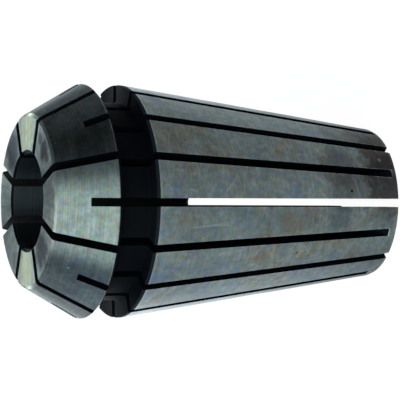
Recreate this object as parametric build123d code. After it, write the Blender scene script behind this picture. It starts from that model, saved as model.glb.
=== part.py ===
from build123d import *
import math
import os

# ER16 spring collet for a 7 mm shank, one piece of spring steel.
# It stands on its small back face with the nose up. The axis is Z, the origin
# is the centre of the back face, and one of the back slots faces -Y.

# Overall sizes, mm and degrees
length = 27.25
bore_diameter = 7.0
back_diameter = 11.26           # where the taper would meet the back face
nose_diameter = 17.0
taper_half_angle = 8.0          # seats in the holder
nose_half_angle = 30.0          # seats under the clamping nut
nose_cone_length = 3.9

# Extraction groove behind the nose
groove_width = 2.5
groove_diameter = 14.4
groove_corner_radius = 0.2
nose_land = 0.05                # straight rim behind the nose cone
nose_rear_chamfer = 0.25

# Edge breaks
unground_land = 0.24            # left dark at each end of the ground taper
back_land_inset = 0.09
face_edge_break = 0.14
bore_mouth_chamfer = 0.19

# Slots, sawn with a round blade, half of them from each end
slots_per_end = 8
slot_width = 0.6
blade_diameter = 40.0
slot_overcut = 0.3              # how far the blade goes below the bore wall
back_slot_stop = 2.16           # front face to the end of a back slot
front_slot_stop = 0.5           # back face to the end of a front slot
slot_stop_runout = 0.25         # the stops lie on a plane a little out of square
saw_overrun = 1.0               # past the face where the blade enters

bore_radius = bore_diameter / 2
back_radius = back_diameter / 2
nose_radius = nose_diameter / 2
groove_radius = groove_diameter / 2
blade_radius = blade_diameter / 2
taper_slope = math.tan(math.radians(taper_half_angle))
nose_slope = math.tan(math.radians(nose_half_angle))

cone_base_z = length - nose_cone_length
nose_rear_z = cone_base_z - nose_land - nose_rear_chamfer
shoulder_z = nose_rear_z - groove_width
taper_top_z = shoulder_z - unground_land


def taper_radius(z):
    """Radius of the 8 degree seat at a height."""
    return back_radius + z * taper_slope


def nose_cone_radius(z):
    """Radius of the 30 degree cone at a height."""
    return nose_radius - (z - cone_base_z) * nose_slope


face_radius = nose_cone_radius(length)
face_break_z = length - face_edge_break
taper_top_radius = taper_radius(taper_top_z)

# Half section, from the bore round the outside, as (radius, height)
half_section = [
    (bore_radius, bore_mouth_chamfer),
    (bore_radius + bore_mouth_chamfer, 0),
    (taper_radius(unground_land) - back_land_inset, 0),
    (taper_radius(unground_land), unground_land),
    (taper_top_radius, taper_top_z),
    (taper_top_radius, shoulder_z),
    (groove_radius, shoulder_z),
    (groove_radius, nose_rear_z),
    (nose_radius - nose_rear_chamfer, nose_rear_z),
    (nose_radius, nose_rear_z + nose_rear_chamfer),
    (nose_radius, cone_base_z),
    (nose_cone_radius(face_break_z), face_break_z),
    (face_radius - face_edge_break, length),
    (bore_radius + bore_mouth_chamfer, length),
    (bore_radius, length - bore_mouth_chamfer),
]
with BuildSketch(Plane.XZ) as section:
    with BuildLine():
        Polyline(*half_section, close=True)
    make_face()
    groove_corners = section.vertices().filter_by(
        lambda corner: abs(corner.X - groove_radius) < face_edge_break
    )
    fillet(groove_corners, radius=groove_corner_radius)
blank = revolve(section.sketch, axis=Axis.Z)


def saw_cutter(stop_radius, stop_z, entry_z):
    """Space swept by the blade, from the face it enters to its stop.

    The blade's rim passes through (stop_radius, stop_z) on the outside.
    """
    centre_radius = bore_radius - slot_overcut + blade_radius
    rise = math.sqrt(blade_radius**2 - (centre_radius - stop_radius) ** 2)
    toward_entry = math.copysign(1, entry_z - stop_z)
    centre_z = stop_z + toward_entry * rise
    run_length = abs(entry_z - centre_z)
    run_middle_z = (entry_z + centre_z) / 2
    with BuildSketch(Plane.XZ) as swept:
        with Locations((centre_radius, centre_z)):
            Circle(blade_radius)
        with Locations((centre_radius, run_middle_z)):
            Rectangle(blade_diameter, run_length)
    return extrude(swept.sketch, amount=slot_width / 2, both=True)


collet = blank
slot_pitch = 360 / slots_per_end
for slot_number in range(slots_per_end):
    back_angle = slot_number * slot_pitch - 90
    back_lean = slot_stop_runout * math.cos(math.radians(back_angle))
    back_stop_z = length - back_slot_stop - back_lean
    back_cutter = saw_cutter(nose_cone_radius(back_stop_z), back_stop_z, -saw_overrun)
    collet -= Rot(0, 0, back_angle) * back_cutter

    front_angle = back_angle + slot_pitch / 2
    front_lean = slot_stop_runout * math.cos(math.radians(front_angle))
    front_stop_z = front_slot_stop - front_lean
    front_cutter = saw_cutter(
        taper_radius(front_stop_z), front_stop_z, length + saw_overrun
    )
    collet -= Rot(0, 0, front_angle) * front_cutter

collet_solid = collet.solid()
collet_solid.label = "collet"

os.makedirs("parts", exist_ok=True)
export_step(collet_solid, "parts/collet.step")
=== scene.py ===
# ER collet on its small end: camera, floor, soft light, and the finishes of the
# one steel piece: ground seat and nose cone, turned nose face, black oxide elsewhere.
import bpy
import math
from functools import partial
from mathutils import Matrix, Vector

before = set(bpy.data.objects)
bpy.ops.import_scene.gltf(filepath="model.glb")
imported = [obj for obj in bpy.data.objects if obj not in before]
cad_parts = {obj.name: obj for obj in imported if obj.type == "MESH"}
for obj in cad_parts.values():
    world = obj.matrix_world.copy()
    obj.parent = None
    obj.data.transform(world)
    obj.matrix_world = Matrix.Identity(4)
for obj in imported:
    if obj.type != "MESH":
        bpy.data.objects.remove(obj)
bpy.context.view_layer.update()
mm = 0.001
print("frame loaded:", sorted(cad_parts))


def linearColour(hexColour):
    # sRGB hex to linear RGBA
    channels = [int(hexColour[i:i + 2], 16) / 255 for i in (1, 3, 5)]
    return tuple(
        c / 12.92 if c <= 0.04045 else ((c + 0.055) / 1.055) ** 2.4 for c in channels
    ) + (1.0,)


def addNode(tree, kind, links=None, output=0, **settings):
    # adds a node, sets its properties, links or sets its inputs, gives back an output
    node = tree.nodes.new(kind)
    for name, value in settings.items():
        setattr(node, name, value)
    for socket, value in (links or {}).items():
        if isinstance(value, bpy.types.NodeSocket):
            tree.links.new(value, node.inputs[socket])
        else:
            node.inputs[socket].default_value = value
    return node.outputs[output] if node.outputs else node


# The camera lies on its side, so the nose points to the left of the frame.
cameraView = {
    "turnDeg": 0.3325,         # round the collet's axis, from straight in front
    "distanceMm": 138.875,
    "heightMm": 73.507,
    "aimHeightMm": 13.712,
    "besideMm": 0.1282,        # the axis sits this far off the middle of the frame
    "rollDeg": -0.2315,
    "fieldPx": 2032.0,         # focal length in pixels of the frame
    "framePx": 400,
}


def addCamera(view):
    turn = math.radians(view["turnDeg"])
    sideways = Vector((math.cos(turn), math.sin(turn), 0.0))
    outward = Vector((math.sin(turn), -math.cos(turn), 0.0))
    beside = sideways * view["besideMm"]
    spot = outward * view["distanceMm"] + Vector((0.0, 0.0, view["heightMm"])) + beside
    forward = (Vector((0.0, 0.0, view["aimHeightMm"])) + beside - spot).normalized()
    up = Matrix.Rotation(math.radians(view["rollDeg"]), 3, forward) @ sideways
    right = forward.cross(up)
    data = bpy.data.cameras.new("productCamera")
    data.sensor_width = 36.0
    data.lens = view["fieldPx"] / view["framePx"] * data.sensor_width
    data.clip_start = 0.01
    data.clip_end = 20.0
    camera = bpy.data.objects.new("productCamera", data)
    turned = Matrix((right, up, -forward)).transposed()
    camera.matrix_world = Matrix.Translation(spot * mm) @ turned.to_4x4()
    bpy.context.scene.collection.objects.link(camera)
    bpy.context.scene.camera = camera


addCamera(cameraView)
print("camera placed")

# Sizes of the collet that its finishes follow, in mm, as in the solid
colletForm = {
    "length": 27.25,
    "boreRadius": 3.5,
    "mouthRadius": 3.69,
    "backRadius": 5.63,
    "noseRadius": 8.5,
    "coneBase": 23.35,
    "rimBase": 23.3,
    "seatTop": 20.31,
    "seatFoot": 0.24,
    "footRadius": 5.574,
    "footSlope": 0.375,
    "edgeBreak": 0.14,
    "breakRadius": 6.108,
    "breakSlope": 1.578,
    "slotHalfWidth": 0.3,
    "slotPitchDeg": 22.5,
    "surfaceReach": 0.03,        # how far from a turned surface still counts as on it
    "taperSlope": math.tan(math.radians(8)),
    "noseSlope": math.tan(math.radians(30)),
}

# Spring steel, hardened, blacked, then ground on its two seats and faced on the
# nose. It gives a grey satin with rings round the seats, brighter rings on the face
# that flash in a bow tie, and dull blue-black where the oxide is left.
steelLook = {
    "groundSteel": "#8d9897",
    "groundShade": "#4e555b",    # the cloudy patches of the ground surfaces
    "temperBrown": "#8c7d63",    # heat tint, straw to brown
    "temperBlue": "#6f86a2",
    "facedSteel": "#aab2aa",
    # colour of the painted highlight on the edge break and the seat's top edge
    "facedShade": "#59646c",
    "edgeHighlightColour": "#ccd2ca",
    # honed bore steel, darkened as painted shade inside the bore
    "shadedBoreSteel": "#3c4247",
    "blackOxide": "#0c0f15",
    "unground": "#1d232c",
    "groundRoughness": 0.34,
    "facedRoughness": 0.34,
    "oxideRoughness": 0.6,
    "honedRoughness": 0.48,
    "grindRingMm": 0.09,         # coarser than the real wheel marks, so that they show
    "turnedRayMm": 0.26,         # width of the rays that turned rings flash in
    "cloudMm": 2.4,
    "mottleMm": 0.55,
    "speckleMm": 0.28,
    "scratchMm": 0.075,
    "wispMm": 1.5,
    "slotEdgeHighlightMm": 0.07,            # painted highlight along the edges of the slots, in patches
    # colour of the painted highlight along the slot edges
    "slotEdgeHighlight": "#c4cccb",
    "scratchSteel": "#d4dcdc",
}

# Patches as (place in mm, radius in mm, colour, strength): handling marks and heat tint, and
# painted shade and a painted sheen where marked
surfaceStainsShadeAndSheen = [
    ((1.6, -5.7, 0.8), 3.0, "#362d2e", 0.82),      # brown, darker patches towards the foot
    ((3.9, -4.3, 0.9), 2.9, "#393130", 0.75),
    ((5.2, -2.4, 1.5), 2.2, "#3e3938", 0.60),
    ((5.2, -3.2, 4.2), 1.8, "#4a4543", 0.40),
    ((2.6, -5.6, 5.0), 2.0, "#4b403c", 0.50),
    ((-0.6, -5.9, 1.4), 1.5, "#4b4c4e", 0.30),
    ((0.8, -6.2, 4.6), 1.8, "#48413e", 0.50),
    ((-1.5, -6.8, 9.3), 1.3, "#877060", 0.48),
    ((-0.3, -6.7, 7.7), 0.9, "#8a7469", 0.45),
    ((-1.1, -6.2, 5.0), 1.2, "#56686f", 0.50),
    ((-2.1, -8.8, 16.8), 2.8, "#606b6b", 0.28),    # painted shade: duller grey patches that darken the seat and cone
    ((-1.9, -7.9, 11.0), 2.8, "#5e6868", 0.28),
    ((-6.8, -4.6, 17.0), 2.6, "#6c777c", 0.28),
    ((-7.6, -0.4, 25.0), 2.2, "#6a7472", 0.25),
    ((7.6, -0.4, 25.0), 2.2, "#50585a", 0.30),
    ((2.4, 5.6, 2.2), 2.3, "#3a3534", 0.60),
    ((-4.9, 3.4, 3.0), 1.8, "#4a4240", 0.45),
    ((3.6, -3.7, 27.25), 0.95, "#1c242c", 0.95),   # oil stains and darker patches on the face
    ((3.1, -4.4, 27.25), 0.45, "#5a4334", 0.80),
    ((4.4, -2.9, 27.25), 0.50, "#2a3138", 0.80),
    ((-4.3, 2.6, 27.25), 0.8, "#33404a", 0.40),
    ((-3.5, -3.3, 27.25), 1.5, "#2c3339", 0.80),
    ((3.6, 3.4, 27.25), 1.7, "#343d48", 0.85),
    # painted shade: a bluish-grey patch that darkens the face at 0 degrees, away from the
    # highlight flashes
    ((0.1, -4.7, 27.25), 1.6, "#46525c", 0.50),
    ((4.9, 0.0, 27.25), 1.9, "#b9b966", 0.45),     # painted yellow sheen where the face flashes its highlight
    ((-4.9, 0.0, 27.25), 1.9, "#bcbc6c", 0.45),
    # painted shade: a bluish-grey patch that darkens the face at 180 degrees
    ((0.2, 4.8, 27.25), 1.5, "#4c585f", 0.40),
]
surfaceSpecks = [
    ((0.87, -6.16, 4.21), 0.16, "#16181a", 0.9),
    ((4.79, -3.29, 1.30), 0.14, "#16181a", 0.9),
    ((3.89, -5.75, 9.33), 0.11, "#24282b", 0.4),
    ((-3.64, -5.76, 8.50), 0.15, "#3a3a3c", 0.7),
    ((3.18, -4.86, 1.25), 0.20, "#8f9a9d", 0.45),
    ((-4.61, -5.28, 25.93), 0.09, "#ffffff", 0.9),
    ((4.08, -5.01, 26.88), 0.08, "#ffffff", 0.6),
    ((-5.88, -5.70, 18.21), 0.12, "#f4f7f6", 0.8),
    ((-3.05, -6.58, 11.51), 0.09, "#e8eeee", 0.6),
    ((2.2, 6.6, 12.1), 0.15, "#1b1e20", 0.8),
    ((-5.1, 4.6, 8.4), 0.12, "#1b1e20", 0.8),
    ((6.1, 3.5, 15.0), 0.14, "#c8d0d0", 0.6),
]
# Rubbed scratches as (start in mm, end in mm, brightness)
surfaceScratches = [
    ((5.3, -5.6, 15.1), (4.4, -6.4, 14.8), 0.20),
    ((4.8, -6.0, 14.6), (3.4, -6.9, 14.2), 0.22),
    ((0.5, -7.9, 16.4), (1.4, -7.7, 15.7), 0.18),
    ((0.6, -7.7, 15.1), (1.9, -7.3, 13.9), 0.22),
    ((-1.8, -7.9, 17.9), (-1.5, -7.6, 15.2), 0.22),
    ((-1.7, -7.8, 16.7), (-1.6, -7.5, 14.5), 0.16),
    ((4.1, -5.1, 6.7), (2.9, -5.9, 6.3), 0.16),
    ((1.8, -5.9, 3.9), (0.4, -6.1, 3.5), 0.18),
    ((2.7, -6.2, 7.8), (0.5, -6.7, 7.5), 0.20),
    ((1.8, -8.2, 20.1), (0.8, -8.3, 19.3), 0.18),
    ((1.0, -8.1, 18.0), (0.7, -8.0, 17.3), 0.18),
    ((4.5, -6.0, 13.7), (3.8, -6.5, 13.3), 0.18),
    ((3.7, -6.2, 11.2), (2.8, -6.5, 10.8), 0.16),
    ((2.6, 7.1, 14.8), (0.5, 7.5, 13.6), 0.20),
    ((-5.6, 4.4, 10.9), (-4.2, 5.6, 11.6), 0.20),
    ((6.6, 2.6, 9.9), (6.9, 1.0, 10.4), 0.20),
]


def makeSpringSteel(form, look, stainShadeAndSheen, specks, scratches):
    material = bpy.data.materials.new("groundSpringSteelWithBlackOxide")
    material.use_nodes = True
    tree = material.node_tree
    tree.nodes.clear()
    add = partial(addNode, tree)

    coords = add("ShaderNodeTexCoord", output="Object")
    spot = add("ShaderNodeVectorMath", {0: coords, "Scale": 1 / mm}, operation="SCALE")
    axes = tree.nodes.new("ShaderNodeSeparateXYZ")
    tree.links.new(spot, axes.inputs[0])
    x, y, z = axes.outputs
    flat = add("ShaderNodeCombineXYZ", {0: x, 1: y})
    radius = add("ShaderNodeVectorMath", {0: flat}, "Value", operation="LENGTH")

    # Zones by how far a point lies from each turned surface
    reach = form["surfaceReach"]
    seatRadius = add("ShaderNodeMath", {0: z, 1: form["taperSlope"], 2: form["backRadius"]},
                     operation="MULTIPLY_ADD")
    seatGap = add("ShaderNodeMath", {0: radius, 1: seatRadius, 2: reach}, operation="COMPARE")
    apexRadius = form["noseRadius"] + form["coneBase"] * form["noseSlope"]
    coneRadius = add("ShaderNodeMath", {0: z, 1: -form["noseSlope"], 2: apexRadius},
                     operation="MULTIPLY_ADD")
    coneGap = add("ShaderNodeMath", {0: radius, 1: coneRadius, 2: 0.04}, operation="COMPARE")
    onBore = add("ShaderNodeMath", {0: radius, 1: form["boreRadius"], 2: reach},
                 operation="COMPARE")
    aboveFoot = add("ShaderNodeMath", {0: z, 1: form["seatFoot"]}, operation="GREATER_THAN")
    belowTop = add("ShaderNodeMath", {0: z, 1: form["seatTop"]}, operation="LESS_THAN")
    onSeat = add("ShaderNodeMath", {0: seatGap, 1: aboveFoot}, operation="MULTIPLY")
    onSeat = add("ShaderNodeMath", {0: onSeat, 1: belowTop}, operation="MULTIPLY")
    footRadius = add("ShaderNodeMath", {0: z, 1: form["footSlope"], 2: form["footRadius"]},
                     operation="MULTIPLY_ADD")
    footGap = add("ShaderNodeMath", {0: radius, 1: footRadius, 2: reach}, operation="COMPARE")
    belowSeat = add("ShaderNodeMath", {0: z, 1: form["seatFoot"] + 0.01},
                    operation="LESS_THAN")
    onFoot = add("ShaderNodeMath", {0: footGap, 1: belowSeat}, operation="MULTIPLY")
    onSeat = add("ShaderNodeMath", {0: onSeat, 1: onFoot}, operation="MAXIMUM")
    aboveRim = add("ShaderNodeMath", {0: z, 1: form["rimBase"]}, operation="GREATER_THAN")
    onCone = add("ShaderNodeMath", {0: coneGap, 1: aboveRim}, operation="MULTIPLY")
    breakTip = form["breakRadius"] + form["length"] * form["breakSlope"]
    breakRadius = add("ShaderNodeMath", {0: z, 1: -form["breakSlope"], 2: breakTip},
                      operation="MULTIPLY_ADD")
    breakGap = add("ShaderNodeMath", {0: radius, 1: breakRadius, 2: reach},
                   operation="COMPARE")
    breakBase = form["length"] - form["edgeBreak"] + 0.004
    aboveBase = add("ShaderNodeMath", {0: z, 1: breakBase}, operation="GREATER_THAN")
    onBreak = add("ShaderNodeMath", {0: breakGap, 1: aboveBase}, operation="MULTIPLY")
    onFlat = add("ShaderNodeMath", {0: z, 1: form["length"] - 0.004},
                 operation="GREATER_THAN")
    outsideMouth = add("ShaderNodeMath", {0: radius, 1: form["mouthRadius"]},
                       operation="GREATER_THAN")
    onFlat = add("ShaderNodeMath", {0: onFlat, 1: outsideMouth}, operation="MULTIPLY")
    onFace = add("ShaderNodeMath", {0: onFlat, 1: onBreak}, operation="MAXIMUM")
    landMiddle = form["seatTop"] + form["seatFoot"] / 2
    onLand = add("ShaderNodeMath", {0: z, 1: landMiddle, 2: form["seatFoot"] / 2},
                 operation="COMPARE")
    outerWall = add("ShaderNodeMath", {0: radius, 1: form["noseRadius"] - 0.1},
                    operation="GREATER_THAN")
    onLand = add("ShaderNodeMath", {0: onLand, 1: outerWall}, operation="MULTIPLY")
    ground = add("ShaderNodeMath", {0: onSeat, 1: onCone}, operation="MAXIMUM")
    bright = add("ShaderNodeMath", {0: ground, 1: onFace}, operation="MAXIMUM")

    # Wheel rings: height less radius runs along the profile on every turned surface
    alongProfile = add("ShaderNodeMath", {0: z, 1: radius}, operation="SUBTRACT")
    ringAcross = add("ShaderNodeMath", {0: alongProfile, 1: 1 / look["grindRingMm"]},
                     operation="MULTIPLY")
    ringRound = add("ShaderNodeVectorMath", {0: flat, "Scale": 0.22}, operation="SCALE")
    ringLift = add("ShaderNodeCombineXYZ", {2: ringAcross})
    ringSpot = add("ShaderNodeVectorMath", {0: ringRound, 1: ringLift}, operation="ADD")
    rings = add("ShaderNodeTexNoise",
                {"Vector": ringSpot, "Scale": 1.0, "Detail": 3.0, "Roughness": 0.65})

    # Clouds of heat tint and fine mottle of the ground surface
    clouds = add("ShaderNodeTexNoise", {"Vector": spot, "Scale": 1 / look["cloudMm"],
                                        "Detail": 3.0, "Roughness": 0.55, "Distortion": 0.6})
    cloudsAgain = add("ShaderNodeVectorMath", {0: spot, 1: (31.0, 17.0, 5.0)}, operation="ADD")
    tint = add("ShaderNodeTexNoise", {"Vector": cloudsAgain, "Scale": 0.8 / look["cloudMm"],
                                      "Detail": 4.0, "Roughness": 0.6, "Distortion": 0.8})
    mottle = add("ShaderNodeTexNoise", {"Vector": spot, "Scale": 1 / look["mottleMm"],
                                        "Detail": 3.0, "Roughness": 0.65})

    # Handling marks: long thin wisps, level lines of two slow stretched noises
    wisps = None
    for lean, spin in ((0.12, 0.3), (-0.75, 1.9)):
        turned = add("ShaderNodeVectorRotate", {0: spot, "Rotation": (lean, 0.0, spin)},
                     rotation_type="EULER_XYZ")
        drawn = add("ShaderNodeVectorMath", {0: turned, 1: (0.3, 0.3, 1.0)},
                    operation="MULTIPLY")
        hills = add("ShaderNodeTexNoise", {"Vector": drawn, "Scale": 1 / look["wispMm"],
                                           "Detail": 0.0})
        terraces = add("ShaderNodeMath", {0: hills, 1: 0.05}, operation="PINGPONG")
        lines = add("ShaderNodeMapRange", {"Value": terraces, "From Min": 0.012,
                                           "From Max": 0.003})
        wisps = lines if wisps is None else add(
            "ShaderNodeMath", {0: wisps, 1: lines}, operation="MAXIMUM")
    wispPatch = add("ShaderNodeMapRange", {"Value": tint, "From Min": 0.46, "From Max": 0.56})
    wispPatch = add("ShaderNodeMath", {0: wispPatch, 1: onSeat}, operation="MULTIPLY")
    wisps = add("ShaderNodeMath", {0: wisps, 1: wispPatch}, operation="MULTIPLY")
    speckle = add("ShaderNodeTexNoise", {"Vector": spot, "Scale": 1 / look["speckleMm"],
                                         "Detail": 1.0}, output="Color")
    speckle = add("ShaderNodeVectorMath", {0: speckle, 1: (0.80, 0.50, 1.00),
                                           2: (0.60, 0.75, 0.50)}, operation="MULTIPLY_ADD")

    # Ground steel: grey, clouded darker and tinted, with rings and swirl
    brownAmount = add("ShaderNodeMapRange", {"Value": tint, "From Min": 0.52, "From Max": 0.70,
                                             "To Max": 0.55})
    blueAmount = add("ShaderNodeMapRange", {"Value": tint, "From Min": 0.46, "From Max": 0.32,
                                            "To Max": 0.65})
    tintShare = add("ShaderNodeMath", {0: onCone, 1: -0.6, 2: 1.0}, operation="MULTIPLY_ADD")
    brownAmount = add("ShaderNodeMath", {0: brownAmount, 1: tintShare}, operation="MULTIPLY")
    blueAmount = add("ShaderNodeMath", {0: blueAmount, 1: tintShare}, operation="MULTIPLY")
    steel = add("ShaderNodeMix", {"Factor": brownAmount, 6: linearColour(look["groundSteel"]),
                                  7: linearColour(look["temperBrown"])}, 2, data_type="RGBA")
    steel = add("ShaderNodeMix", {"Factor": blueAmount, 6: steel,
                                  7: linearColour(look["temperBlue"])}, 2, data_type="RGBA")
    shadeAmount = add("ShaderNodeMapRange", {"Value": clouds, "From Min": 0.50,
                                             "From Max": 0.30, "To Max": 0.22})
    steel = add("ShaderNodeMix", {"Factor": shadeAmount, 6: steel,
                                  7: linearColour(look["groundShade"])}, 2, data_type="RGBA")
    ringSeat = add("ShaderNodeMapRange", {"Value": rings, "From Min": 0.3, "From Max": 0.7,
                                          "To Min": 0.88, "To Max": 1.11})
    ringCone = add("ShaderNodeMapRange", {"Value": rings, "From Min": 0.3, "From Max": 0.7,
                                          "To Min": 0.75, "To Max": 1.19})
    ringShade = add("ShaderNodeMix", {"Factor": onSeat, 2: ringCone, 3: ringSeat},
                    data_type="FLOAT")
    mottleShade = add("ShaderNodeMapRange", {"Value": mottle, "From Min": 0.3, "From Max": 0.7,
                                             "To Min": 0.80, "To Max": 1.20})
    wispShade = add("ShaderNodeMath", {0: wisps, 1: 0.22, 2: 1.0}, operation="MULTIPLY_ADD")
    for shade in (ringShade, mottleShade, wispShade):
        steel = add("ShaderNodeVectorMath", {0: steel, "Scale": shade}, operation="SCALE")

    # Faced steel: rays fanning from the axis, where the turned rings catch the light
    outward = add("ShaderNodeVectorMath", {0: flat}, operation="NORMALIZE")
    fanned = add("ShaderNodeVectorMath", {0: outward, "Scale": 5.0 / look["turnedRayMm"]},
                 operation="SCALE")
    rayLift = add("ShaderNodeMath", {0: radius, 1: 0.35}, operation="MULTIPLY")
    rayLift = add("ShaderNodeCombineXYZ", {2: rayLift})
    raySpot = add("ShaderNodeVectorMath", {0: fanned, 1: rayLift}, operation="ADD")
    rays = add("ShaderNodeTexNoise", {"Vector": raySpot, "Scale": 1.0, "Detail": 2.0})
    rayShade = add("ShaderNodeMapRange", {"Value": rays, "From Min": 0.3, "From Max": 0.7,
                                          "To Min": 0.68, "To Max": 1.24})
    facedShade = add("ShaderNodeMapRange", {"Value": clouds, "From Min": 0.50,
                                            "From Max": 0.34, "To Max": 0.5})
    faced = add("ShaderNodeMix", {"Factor": facedShade, 6: linearColour(look["facedSteel"]),
                                  7: linearColour(look["facedShade"])}, 2, data_type="RGBA")
    for shade in (rayShade, mottleShade):
        faced = add("ShaderNodeVectorMath", {0: faced, "Scale": shade}, operation="SCALE")
    steel = add("ShaderNodeMix", {"Factor": onFace, 6: steel, 7: faced}, 2, data_type="RGBA")
    # Painted highlight: a lighter band near the seat's top edge and on the edge break round the
    # face
    paintedEdgeHighlight = add("ShaderNodeMapRange", {"Value": z, "From Min": form["seatTop"] - 0.2,
                                          "From Max": form["seatTop"] - 0.08,
                                          "To Max": 0.22})
    paintedEdgeHighlight = add("ShaderNodeMath", {0: paintedEdgeHighlight, 1: onSeat}, operation="MULTIPLY")
    paintedEdgeHighlight = add("ShaderNodeMath", {0: paintedEdgeHighlight, 1: onBreak}, operation="MAXIMUM")
    steel = add("ShaderNodeMix", {"Factor": paintedEdgeHighlight, 6: steel,
                                  7: linearColour(look["edgeHighlightColour"])}, 2, data_type="RGBA")

    # Stains, painted shade and painted sheen with ragged edges, then scratches and specks
    ragged = add("ShaderNodeTexNoise", {"Vector": spot, "Scale": 1.6, "Detail": 3.0},
                 output="Color")
    ragged = add("ShaderNodeVectorMath", {0: ragged, 1: (0.5, 0.5, 0.5)},
                 operation="SUBTRACT")
    for place, size, colour, strength in stainShadeAndSheen:
        shift = add("ShaderNodeVectorMath", {0: ragged, "Scale": 1.1 * size},
                    operation="SCALE")
        moved = add("ShaderNodeVectorMath", {0: spot, 1: shift}, operation="ADD")
        away = add("ShaderNodeVectorMath", {0: moved, 1: place}, "Value",
                   operation="DISTANCE")
        amount = add("ShaderNodeMapRange", {"Value": away, "From Min": 1.15 * size,
                                            "From Max": 0.45 * size, "To Max": strength},
                     interpolation_type="SMOOTHSTEP")
        steel = add("ShaderNodeMix", {"Factor": amount, 6: steel, 7: linearColour(colour)},
                    2, data_type="RGBA")
    steel = add("ShaderNodeVectorMath", {0: steel, 1: speckle}, operation="MULTIPLY")
    for start, end, brightness in scratches:
        start, end = Vector(start), Vector(end)
        middle = (start + end) / 2
        outwards = Vector((middle.x, middle.y, 0.0))
        across = (end - start).cross(outwards).normalized()
        offset = add("ShaderNodeVectorMath", {0: spot, 1: middle}, operation="SUBTRACT")
        aside = add("ShaderNodeVectorMath", {0: offset, 1: across}, "Value",
                    operation="DOT_PRODUCT")
        aside = add("ShaderNodeMath", {0: aside}, operation="ABSOLUTE")
        line = add("ShaderNodeMapRange", {"Value": aside, "From Min": 1.3 * look["scratchMm"],
                                          "From Max": 0.2 * look["scratchMm"],
                                          "To Max": brightness})
        away = add("ShaderNodeVectorMath", {0: offset}, "Value", operation="LENGTH")
        halfLength = (end - start).length / 2
        near = add("ShaderNodeMapRange", {"Value": away, "From Min": 1.2 * halfLength,
                                          "From Max": 0.6 * halfLength},
                   interpolation_type="SMOOTHSTEP")
        amount = add("ShaderNodeMath", {0: line, 1: near}, operation="MULTIPLY")
        steel = add("ShaderNodeMix", {"Factor": amount, 6: steel,
                                      7: linearColour(look["scratchSteel"])}, 2, data_type="RGBA")
    for place, size, colour, strength in specks:
        away = add("ShaderNodeVectorMath", {0: spot, 1: place}, "Value",
                   operation="DISTANCE")
        amount = add("ShaderNodeMapRange", {"Value": away, "From Min": size,
                                            "From Max": 0.5 * size, "To Max": strength},
                     interpolation_type="SMOOTHSTEP")
        steel = add("ShaderNodeMix", {"Factor": amount, 6: steel, 7: linearColour(colour)},
                    2, data_type="RGBA")

    # Painted highlight along the slot edges, in patches: the distance to the nearest slot's
    # middle plane
    angle = add("ShaderNodeMath", {0: x, 1: y}, operation="ARCTAN2")
    fold = add("ShaderNodeMath", {0: angle, 1: math.radians(form["slotPitchDeg"] / 2)},
               operation="PINGPONG")
    fold = add("ShaderNodeMath", {0: fold}, operation="SINE")
    fromSlot = add("ShaderNodeMath", {0: radius, 1: fold}, operation="MULTIPLY")
    slotEdgeGlint = add("ShaderNodeMapRange", {
        "Value": fromSlot, "From Min": form["slotHalfWidth"] + look["slotEdgeHighlightMm"],
        "From Max": form["slotHalfWidth"], "To Max": 0.45})
    patchy = add("ShaderNodeMapRange", {"Value": mottle, "From Min": 0.42, "From Max": 0.60})
    slotEdgeGlint = add("ShaderNodeMath", {0: slotEdgeGlint, 1: patchy}, operation="MULTIPLY")
    slotEdgeGlint = add("ShaderNodeMath", {0: slotEdgeGlint, 1: onSeat}, operation="MULTIPLY")
    steel = add("ShaderNodeMix", {"Factor": slotEdgeGlint, 6: steel,
                                  7: linearColour(look["slotEdgeHighlight"])}, 2, data_type="RGBA")

    # Oxide and the honed bore, its colour darkened as painted shade inside the bore, take over
    # where the steel is not ground or faced
    honedBoreInShade = add("ShaderNodeVectorMath", {0: linearColour(look["shadedBoreSteel"])[:3],
                                         "Scale": ringCone}, operation="SCALE")
    dark = add("ShaderNodeMix", {"Factor": onBore, 6: linearColour(look["blackOxide"]),
                                 7: honedBoreInShade}, 2, data_type="RGBA")
    dark = add("ShaderNodeMix", {"Factor": onLand, 6: dark,
                                 7: linearColour(look["unground"])}, 2, data_type="RGBA")
    colour = add("ShaderNodeMix", {"Factor": bright, 6: dark, 7: steel}, 2,
                 data_type="RGBA")
    honedMetal = add("ShaderNodeMath", {0: onBore, 1: 0.8}, operation="MULTIPLY")
    metallic = add("ShaderNodeMath", {0: bright, 1: honedMetal}, operation="MAXIMUM")
    roughness = add("ShaderNodeMix", {"Factor": ground, 2: look["oxideRoughness"],
                                      3: look["groundRoughness"]}, data_type="FLOAT")
    roughness = add("ShaderNodeMix", {"Factor": onFace, 2: roughness,
                                      3: look["facedRoughness"]}, data_type="FLOAT")
    roughness = add("ShaderNodeMix", {"Factor": onBore, 2: roughness,
                                      3: look["honedRoughness"]}, data_type="FLOAT")
    smeared = add("ShaderNodeMapRange", {"Value": clouds, "From Min": 0.3, "From Max": 0.7,
                                         "To Min": -0.05, "To Max": 0.05})
    roughness = add("ShaderNodeMath", {0: roughness, 1: smeared}, operation="ADD")

    # Grinding and turning marks run round the axis, so gloss spreads along the profile
    around = add("ShaderNodeVectorMath", {0: flat, 1: (0.0, 0.0, 1.0)},
                 operation="CROSS_PRODUCT")
    normal = add("ShaderNodeNewGeometry", output="Normal")
    tangent = add("ShaderNodeVectorMath", {0: normal, 1: around}, operation="CROSS_PRODUCT")
    tangent = add("ShaderNodeVectorMath", {0: tangent}, operation="NORMALIZE")
    marks = add("ShaderNodeBump", {"Height": rings, "Strength": 0.5, "Distance": 0.002 * mm})
    surface = add("ShaderNodeBsdfPrincipled", {
        "Base Color": colour, "Metallic": metallic, "Roughness": roughness, "Normal": marks,
        "Tangent": tangent, "Anisotropic": 0.95, "Specular IOR Level": 0.07})
    add("ShaderNodeOutputMaterial", {"Surface": surface})
    return material


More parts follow.
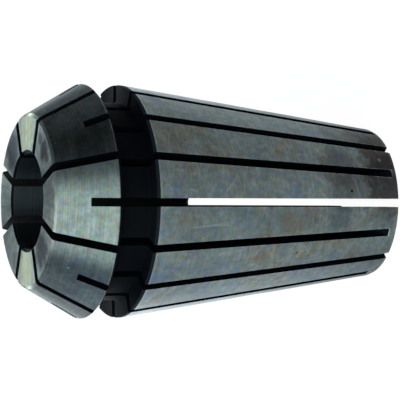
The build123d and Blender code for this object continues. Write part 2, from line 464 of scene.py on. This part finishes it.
springSteel = makeSpringSteel(colletForm, steelLook, surfaceStainsShadeAndSheen, surfaceSpecks,
                              surfaceScratches)
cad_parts["collet"].material_slots[0].material = springSteel
print("finishes made")

# A matte white board under the collet, near white to the camera. What the steel
# mirrors of it is a painted glow of light and shade: greyer in front, brighter to the left, dark
# far behind.
floorLook = {
    "board": "#e4e5e3",
    "halfWidthM": 3.0,
    "cameraShare": 0.85,
    "cameraGlow": 1.13,
    "mirroredColour": "#f2faff",
    # levels of the mirrored board: the first one, then steps as (from, to, change), in m
    "along": (0.43, [(-0.026, 0.012, 0.27), (0.010, 0.045, 0.63)]),
    "across": (1.45, [(-0.020, -0.004, -0.59), (-0.004, 0.006, 0.19), (0.022, 0.050, -0.41)]),
    "farAcross": (1.0, [(-0.25, -0.03, -0.92)]),
    "farShare": (0.0, [(0.08, 0.15, 1.0)]),
}


def addFloor(look):
    half = look["halfWidthM"]
    corners = [(-half, -half, 0), (half, -half, 0), (half, half, 0), (-half, half, 0)]
    mesh = bpy.data.meshes.new("floor")
    mesh.from_pydata(corners, [], [(0, 1, 2, 3)])
    floor = bpy.data.objects.new("floor", mesh)
    bpy.context.scene.collection.objects.link(floor)
    material = bpy.data.materials.new("matteWhiteBoard")
    material.use_nodes = True
    tree = material.node_tree
    tree.nodes.clear()
    rays = tree.nodes.new("ShaderNodeLightPath").outputs
    diffuse = addNode(tree, "ShaderNodeBsdfDiffuse", {"Color": linearColour(look["board"])})
    glow = addNode(tree, "ShaderNodeEmission",
                   {"Color": (1, 1, 1, 1), "Strength": look["cameraGlow"]})
    share = addNode(tree, "ShaderNodeMath", {0: rays["Is Camera Ray"], 1: look["cameraShare"]},
                    operation="MULTIPLY")
    seen = addNode(tree, "ShaderNodeMixShader", {0: share, 1: diffuse, 2: glow})
    coords = addNode(tree, "ShaderNodeTexCoord", output="Object")
    axes = tree.nodes.new("ShaderNodeSeparateXYZ")
    tree.links.new(coords, axes.inputs[0])
    levels = {}
    for name, axis in (("along", 1), ("across", 0), ("farAcross", 0), ("farShare", 1)):
        level, steps = look[name]
        for start, end, change in steps:
            step = addNode(tree, "ShaderNodeMapRange", {
                "Value": axes.outputs[axis], "From Min": start, "From Max": end,
                "To Max": change}, interpolation_type="SMOOTHSTEP")
            level = addNode(tree, "ShaderNodeMath", {0: level, 1: step}, operation="ADD")
        levels[name] = level
    # Painted light and shade of the board, seen only in reflections
    near = addNode(tree, "ShaderNodeMath", {0: levels["along"], 1: levels["across"]},
                   operation="MULTIPLY")
    mirrored = addNode(tree, "ShaderNodeMix", {
        "Factor": levels["farShare"], 2: near, 3: levels["farAcross"]}, data_type="FLOAT")
    mirrorGlow = addNode(tree, "ShaderNodeEmission", {
        "Color": linearColour(look["mirroredColour"]), "Strength": mirrored})
    both = addNode(tree, "ShaderNodeMixShader",
                   {0: rays["Is Glossy Ray"], 1: seen, 2: mirrorGlow})
    addNode(tree, "ShaderNodeOutputMaterial", {"Surface": both})
    mesh.materials.append(material)


addFloor(floorLook)
print("floor laid")

# The studio: a dim grey room with flat soft boxes, and a black flag on the right.
studioLook = {
    "room": 0.13,
    "roomColour": "#e4f4ff",
    "boxes": [
        # towards, half width and half height in degrees, soft edge, strength, colour
        ((-0.31, -0.72, 0.64), 37.0, 29.0, 0.45, 1.57, "#eefff8"),  # key, front left
        ((-0.22, 0.14, 0.97), 7.0, 15.0, 0.4, 1.6, "#f0f6ff"),      # narrow one overhead
        ((-1.0, 0.10, 0.10), 38.0, 30.0, 0.6, 0.20, "#c4e0ff"),     # pale wall, left
        ((-0.10, -0.98, 0.15), 60.0, 30.0, 0.6, 0.20, "#eefbff"),   # pale wall, front
    ],
    # a thin arch behind: round this direction, its cosine, flat and soft half widths
    "arch": ((0.0, 1.0, 0.0), 0.923, 0.014, 0.028, 2.52, "#e6f4ff"),
    "flag": ((1.0, 0.05, 0.15), 0.55, 0.80, 0.93),
}


def addStudio(look):
    world = bpy.data.worlds.new("studio")
    bpy.context.scene.world = world
    world.use_nodes = True
    tree = world.node_tree
    tree.nodes.clear()
    towards = addNode(tree, "ShaderNodeTexCoord", output="Generated")
    light = [look["room"] * c for c in linearColour(look["roomColour"])[:3]]
    for direction, wide, high, soft, strength, colour in look["boxes"]:
        ahead = Vector(direction).normalized()
        sideways = Vector((0.0, 0.0, 1.0)).cross(ahead).normalized()
        upwards = ahead.cross(sideways)
        depth = addNode(tree, "ShaderNodeVectorMath", {0: towards, 1: ahead}, "Value",
                        operation="DOT_PRODUCT")
        lit = addNode(tree, "ShaderNodeMath", {0: depth, 1: 0.01}, operation="GREATER_THAN")
        for axis, halfDeg in ((sideways, wide), (upwards, high)):
            half = math.tan(math.radians(halfDeg))
            aside = addNode(tree, "ShaderNodeVectorMath", {0: towards, 1: axis}, "Value",
                            operation="DOT_PRODUCT")
            aside = addNode(tree, "ShaderNodeMath", {0: aside, 1: depth}, operation="DIVIDE")
            aside = addNode(tree, "ShaderNodeMath", {0: aside}, operation="ABSOLUTE")
            inside = addNode(tree, "ShaderNodeMapRange", {
                "Value": aside, "From Min": half * (1 + soft), "From Max": half * (1 - soft)},
                interpolation_type="SMOOTHSTEP")
            lit = addNode(tree, "ShaderNodeMath", {0: lit, 1: inside}, operation="MULTIPLY")
        glow = [strength * c for c in linearColour(colour)[:3]]
        light = addNode(tree, "ShaderNodeVectorMath", {0: lit, 1: glow, 2: light},
                        operation="MULTIPLY_ADD")
    direction, middle, flatWidth, softWidth, strength, colour = look["arch"]
    facing = addNode(tree, "ShaderNodeVectorMath", {0: towards, 1: direction}, "Value",
                     operation="DOT_PRODUCT")
    aside = addNode(tree, "ShaderNodeMath", {0: facing, 1: middle}, operation="SUBTRACT")
    aside = addNode(tree, "ShaderNodeMath", {0: aside}, operation="ABSOLUTE")
    lit = addNode(tree, "ShaderNodeMapRange", {
        "Value": aside, "From Min": softWidth, "From Max": flatWidth},
        interpolation_type="SMOOTHSTEP")
    glow = [strength * c for c in linearColour(colour)[:3]]
    light = addNode(tree, "ShaderNodeVectorMath", {0: lit, 1: glow, 2: light},
                    operation="MULTIPLY_ADD")
    direction, start, full, depthOfFlag = look["flag"]
    facing = addNode(tree, "ShaderNodeVectorMath",
                     {0: towards, 1: Vector(direction).normalized()}, "Value",
                     operation="DOT_PRODUCT")
    kept = addNode(tree, "ShaderNodeMapRange", {
        "Value": facing, "From Min": start, "From Max": full, "To Min": 1.0,
        "To Max": 1 - depthOfFlag}, interpolation_type="SMOOTHSTEP")
    room = addNode(tree, "ShaderNodeBackground", {"Color": light, "Strength": kept})
    white = addNode(tree, "ShaderNodeBackground", {"Color": (1, 1, 1, 1), "Strength": 1.0})
    cameraRay = addNode(tree, "ShaderNodeLightPath", output="Is Camera Ray")
    mixed = addNode(tree, "ShaderNodeMixShader", {0: cameraRay, 1: room, 2: white})
    addNode(tree, "ShaderNodeOutputWorld", {"Surface": mixed})


addStudio(studioLook)
bpy.context.scene.view_settings.view_transform = "Standard"
print("studio lit")
